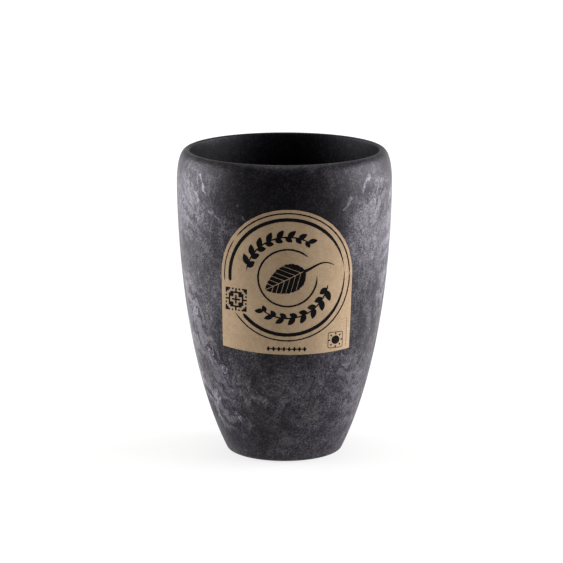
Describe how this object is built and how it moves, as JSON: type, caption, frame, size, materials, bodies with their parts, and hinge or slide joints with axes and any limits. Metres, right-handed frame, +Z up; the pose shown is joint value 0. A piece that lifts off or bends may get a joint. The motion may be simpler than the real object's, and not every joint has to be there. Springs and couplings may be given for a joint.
{
  "type": "tall drinking cup",
  "caption": "Tall handle-less drinking cup in dark wood-fibre composite, tapering to a small ringed foot, with an arched kraft-paper label on its side.",
  "frame": {"origin": "middle of the foot, on the surface that the cup stands on", "axes": "+Z up along the cup's axis towards the mouth; the label faces -Y"},
  "size_m": [0.08, 0.0804, 0.1145],
  "materials": {
    "dark_composite": "satin charcoal with cloudy grey marbling and fine pale wood fibres",
    "kraft_paper": "matt uncoated brown paper with black print"
  },
  "bodies": {
    "root": {"cup_body": "dark_composite", "paper_label": "kraft_paper"}
  },
  "joints": []
}
